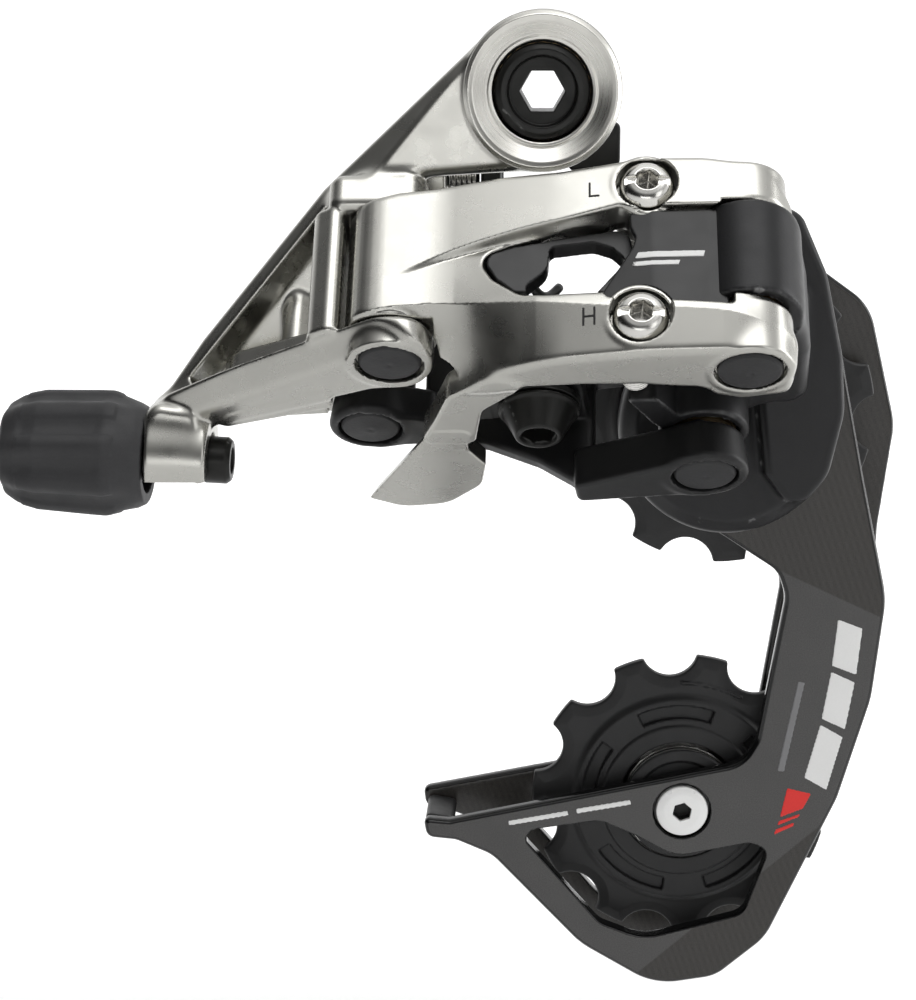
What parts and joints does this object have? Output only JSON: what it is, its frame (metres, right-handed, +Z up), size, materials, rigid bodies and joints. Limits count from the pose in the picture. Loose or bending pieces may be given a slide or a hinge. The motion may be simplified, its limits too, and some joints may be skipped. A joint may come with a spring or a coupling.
{
  "type": "rear bicycle derailleur",
  "caption": "Short-cage rear bicycle derailleur: slant parallelogram of two links, sprung pulley cage with two jockey wheels, cable barrel adjuster and hollow hanger bolt.",
  "frame": {"origin": "on the hanger bolt's axis, at the face that seats against the frame's derailleur hanger", "axes": "+X towards the front of the bicycle, +Y inboard towards the wheel along the hanger bolt, +Z up"},
  "size_m": [0.1209, 0.0562, 0.1386],
  "materials": {
    "polished_alloy": "polished",
    "satin_ring": "turned",
    "steel": "bright",
    "black_steel": "black",
    "black_alloy": "satin black",
    "grey_alloy": "satin dark grey",
    "carbon": "woven fibre, lacquered",
    "black_plastic": "moulded",
    "grip_rubber": "moulded",
    "seal_rubber": "moulded",
    "white_bolt": "white",
    "bronze": "sintered",
    "ceramic": "glazed"
  },
  "bodies": {
    "hanger": {"hanger_bolt": "black_steel", "bolt_ring": "satin_ring", "pivot_bush": "bronze", "stop_plate": "black_steel"},
    "b_knuckle": {"b_knuckle": "polished_alloy", "adjuster_boss": "polished_alloy", "pin_a": "steel", "pin_cap_a": "black_plastic", "bush_b": "bronze"},
    "b_screw": {"b_screw": "steel"},
    "housing_seat": {"housing_seat": "steel"},
    "adjuster": {"adjuster_stem": "black_steel", "adjuster_grip": "grip_rubber", "adjuster_detent_spring": "steel"},
    "outer_link": {"outer_link": "polished_alloy", "link_insert": "black_plastic", "bush_a": "bronze", "pin_c": "steel", "pin_cap_c": "black_plastic"},
    "limit_low": {"limit_screw_low": "steel"},
    "limit_high": {"limit_screw_high": "steel"},
    "inner_link": {"inner_link": "black_alloy", "pin_b": "steel", "pin_cap_b": "black_plastic", "pin_d": "steel", "pin_cap_d": "black_plastic", "cable_anchor_bolt": "black_steel", "cable_clamp_washer": "steel", "return_spring": "black_steel"},
    "p_knuckle": {"p_knuckle": "grey_alloy", "bush_c": "bronze", "bush_d": "bronze", "cage_spring": "steel", "housing_seal": "seal_rubber"},
    "cage": {"cage_axle": "steel", "cage_outer_plate": "carbon", "cage_inner_plate": "carbon", "cage_bridge": "black_plastic", "cage_stop_pin": "steel", "guide_pulley_bolt": "white_bolt", "tension_pulley_bolt": "white_bolt", "guide_bearing_inner": "steel", "guide_cover_front": "black_plastic", "guide_cover_back": "black_plastic", "tension_bearing_inner": "steel", "tension_cover_front": "black_plastic", "tension_cover_back": "black_plastic"},
    "guide_pulley": {"guide_pulley": "black_plastic", "guide_bearing_outer": "steel", "guide_ball_ring": "ceramic"},
    "tension_pulley": {"tension_pulley": "black_plastic", "tension_bearing_outer": "steel", "tension_ball_ring": "ceramic"}
  },
  "joints": [
    {"name": "b_pivot", "type": "hinge", "parent": "hanger", "child": "b_knuckle", "pos_m": [0, 0, 0], "axis": [0, 1, 0], "range_deg": [0, 35]},
    {"name": "b_screw_turn", "type": "hinge", "parent": "b_knuckle", "child": "b_screw", "pos_m": [-0.02, 0.001, -0.0112], "axis": [1, 0, 0], "range_deg": [-1080, 1080]},
    {"name": "adjuster_travel", "type": "slide", "parent": "b_knuckle", "child": "housing_seat", "axis": [-0.9989, 0, 0.0471], "range_m": [0, 0.0033]},
    {"name": "adjuster_turn", "type": "hinge", "parent": "housing_seat", "child": "adjuster", "pos_m": [-0.0512, -0.012, -0.0474], "axis": [-0.9989, 0, 0.0471], "range_deg": [0, 1440]},
    {"name": "outer_link_pivot", "type": "hinge", "parent": "b_knuckle", "child": "outer_link", "pos_m": [-0.0185, -0.026, -0.0326], "axis": [0, 0.6293, 0.7771], "range_deg": [0, 60], "stiffness_Nm_per_rad": 0.2, "springref_deg": -68.75},
    {"name": "limit_low_turn", "type": "hinge", "parent": "outer_link", "child": "limit_low", "pos_m": [0.0129, -0.01379, -0.01752], "axis": [0, 0.7771, -0.6293], "range_deg": [-720, 720]},
    {"name": "limit_high_turn", "type": "hinge", "parent": "outer_link", "child": "limit_high", "pos_m": [0.0119, -0.02562, -0.03213], "axis": [0, 0.7771, -0.6293], "range_deg": [-720, 720]},
    {"name": "inner_link_pivot", "type": "hinge", "parent": "b_knuckle", "child": "inner_link", "pos_m": [-0.0224, -0.01022, -0.04537], "axis": [0, 0.6293, 0.7771], "range_deg": [0, 60], "deforming": ["return_spring"]},
    {"name": "p_knuckle_pivot", "type": "hinge", "parent": "outer_link", "child": "p_knuckle", "pos_m": [0.025, -0.03066, -0.02882], "axis": [0, 0.6293, 0.7771], "range_deg": [-60, 0]},
    {"name": "cage_pivot", "type": "hinge", "parent": "p_knuckle", "child": "cage", "pos_m": [0.0254, 0.003, -0.0447], "axis": [0, 1, 0], "range_deg": [-110, 0], "stiffness_Nm_per_rad": 0.25, "springref_deg": 68.75},
    {"name": "guide_pulley_spin", "type": "hinge", "parent": "cage", "child": "guide_pulley", "pos_m": [0.0254, 0.00985, -0.0447], "axis": [0, 1, 0], "continuous": true},
    {"name": "tension_pulley_spin", "type": "hinge", "parent": "cage", "child": "tension_pulley", "pos_m": [0.021, 0.00985, -0.1019], "axis": [0, 1, 0], "continuous": true}
  ],
  "couplings": [
    {"joint": "inner_link_pivot", "follows": "outer_link_pivot", "ratio": 1},
    {"joint": "p_knuckle_pivot", "follows": "outer_link_pivot", "ratio": -1},
    {"joint": "adjuster_travel", "follows": "adjuster_turn", "m_per_rad": 0.00012732}
  ]
}
